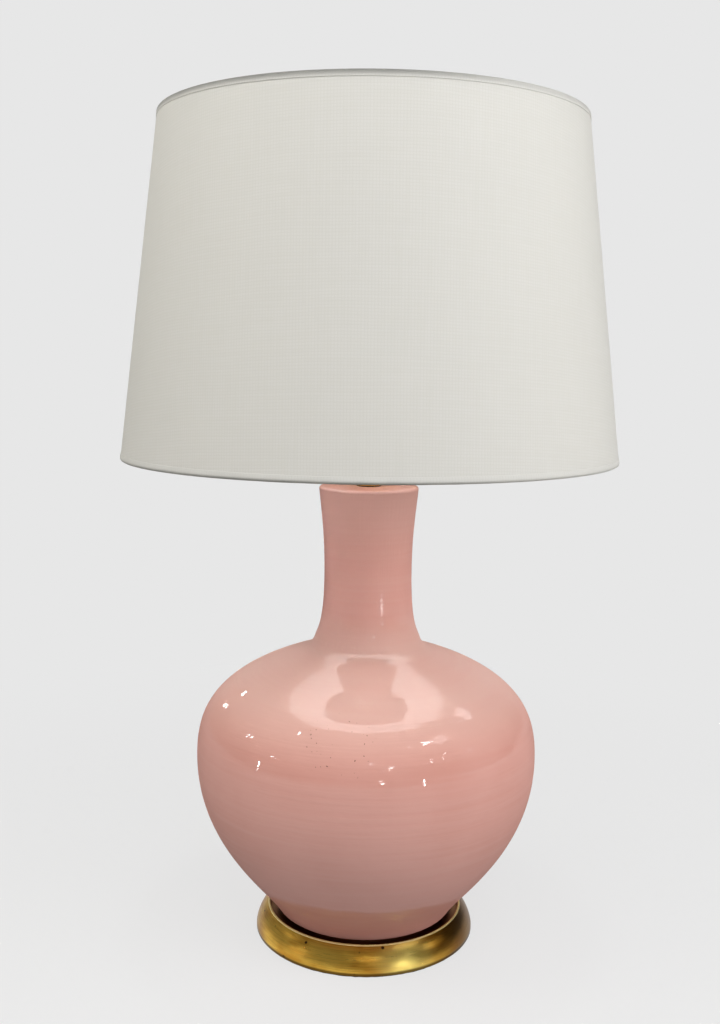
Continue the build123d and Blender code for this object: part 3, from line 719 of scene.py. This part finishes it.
def shade_shine(radiance):
    """Panels along the shade's inside, that show as its bright lining in the glaze."""
    panels = 24
    skirt = 0.042
    clearance = 0.012
    middle = (cover_head + cover_foot) / 2 + sheet_up * skirt / 2 - sheet_out * clearance
    width = 2 * middle.x * sin(pi / panels)
    height = sheet_length - skirt
    for panel in range(panels):
        angle = tau * panel / panels
        place = swing(middle, angle)
        inwards = swing(-sheet_out, angle)
        area_light(f"shine_{panel}", place, inwards, radiance, width, height, False, True)


def bulb_glow(power):
    """Light of the switched-on bulb, from a ball just wider than its globe."""
    gap = 0.002
    _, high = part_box("bulb_globe")
    light = bpy.data.lights.new("bulb_glow", "POINT")
    light.energy = power
    light.shadow_soft_size = high.x + gap
    lamp = bpy.data.objects.new("bulb_glow", light)
    bpy.context.scene.collection.objects.link(lamp)
    lamp.location = (0, 0, high.z - high.x)
    lamp.visible_camera = False
    lamp.visible_glossy = False


make_world(room=0.20, dark=0.03)
make_floor(bounce=0.24)

# Light on the lamp: azimuth, elevation, level, width, height, distance, tint
warm = (1.0, 0.98, 0.92)
plain = (1.0, 1.0, 1.0)
soft_lights = {
    "key": (50, 30, 0.25, 0.9, 0.9, 1.5, plain),
    "right": (80, 10, 0.34, 0.9, 0.6, 1.5, plain),
    "top": (10, 60, 0.32, 0.9, 0.9, 1.4, plain),
    "left": (-75, 45, 0.38, 0.9, 0.9, 1.5, warm),
    "left_low": (-58, -4, 0.06, 0.9, 0.3, 2.0, warm),
    "low": (-5, 4, 0.15, 1.2, 0.5, 2.4, plain),
    "front": (8, 20, 0.08, 0.9, 0.7, 1.8, plain),
}
for name, (azimuth, elevation, level, width, height, distance, tint) in soft_lights.items():
    softbox(name, azimuth, elevation, level, width, height, distance, tint)
neck_middle = Vector((0, 0, 0.335))
softbox("neck", -70, 0, 0.24, 0.08, 0.08, 2.0, plain, target=neck_middle, beam=radians(6))
bulb_glow(power=9.5)
shade_shine(radiance=2.0)

# Cards that show as small glints in the glaze: azimuth, elevation, width, height, strips
glint_radiance = 60.0
strip_step = 2
glints = (
    (42, 21, 0.14, 0.008, 2),
    (57, 49, 0.34, 0.016, 1),
    (38, 48, 0.12, 0.014, 1),
    (13, 18, 0.20, 0.008, 3),
    (55, 24, 0.04, 0.016, 2),
    (-9, 24, 0.22, 0.006, 1),
    (107, 56, 0.20, 0.016, 2),
    (-140, 24, 0.09, 0.060, 1),
    (-136, 13, 0.06, 0.040, 2),
    (-94, 24, 0.14, 0.014, 2),
    (-63, 16, 0.20, 0.010, 1),
    (-70, 52, 0.04, 0.020, 1),
    (11, 4, 0.06, 0.020, 1),
)
for number, (azimuth, elevation, width, height, strips) in enumerate(glints):
    for strip in range(strips):
        name = f"glint_{number}_{strip}"
        shift = strip_step * strip
        mirror_card(name, azimuth + shift, elevation + shift, glint_radiance, width, height)

# Windows that show as pale patches and thin streaks: azimuth, elevation, radiance, width, height
windows = (
    (67, 46, 1.8, 0.45, 0.30),
    (117, 45, 2.5, 0.45, 0.40),
    (-71, 3, 70.0, 0.03, 0.30),
    (36, -2, 28.0, 0.05, 0.20),
)
for number, (azimuth, elevation, radiance, width, height) in enumerate(windows):
    mirror_card(f"window_{number}", azimuth, elevation, radiance, width, height)

# What the brass mirrors: azimuth, elevation, radiance
brass_cards = (
    (41, 8, 28.0),
    (4, 34, 13.0),
    (80, 28, 18.0),
    (-112, 0, 5.0),
)
for number, (azimuth, elevation, radiance) in enumerate(brass_cards):
    brass_card(f"brass_{number}", azimuth, elevation, radiance)


# Camera


def make_camera():
    """Camera with the photograph's place, pitch, roll and yaw."""
    flat = cos(camera_pitch)
    forward = Vector((sin(camera_yaw) * flat, cos(camera_yaw) * flat, -sin(camera_pitch)))
    right = Vector((cos(camera_yaw), -sin(camera_yaw), 0))
    down = forward.cross(right)
    level_right = right * cos(camera_roll) + down * sin(camera_roll)
    level_down = down * cos(camera_roll) - right * sin(camera_roll)
    data = bpy.data.cameras.new("camera")
    data.sensor_width = 36.0
    data.lens = data.sensor_width * camera_focal / picture_height
    data.clip_end = 200.0
    camera = bpy.data.objects.new("camera", data)
    bpy.context.scene.collection.objects.link(camera)
    axes = Matrix((level_right, -level_down, -forward)).transposed()
    camera.matrix_world = Matrix.Translation(camera_place) @ axes.to_4x4()
    bpy.context.scene.camera = camera


make_camera()
bpy.context.scene.view_settings.view_transform = "Standard"
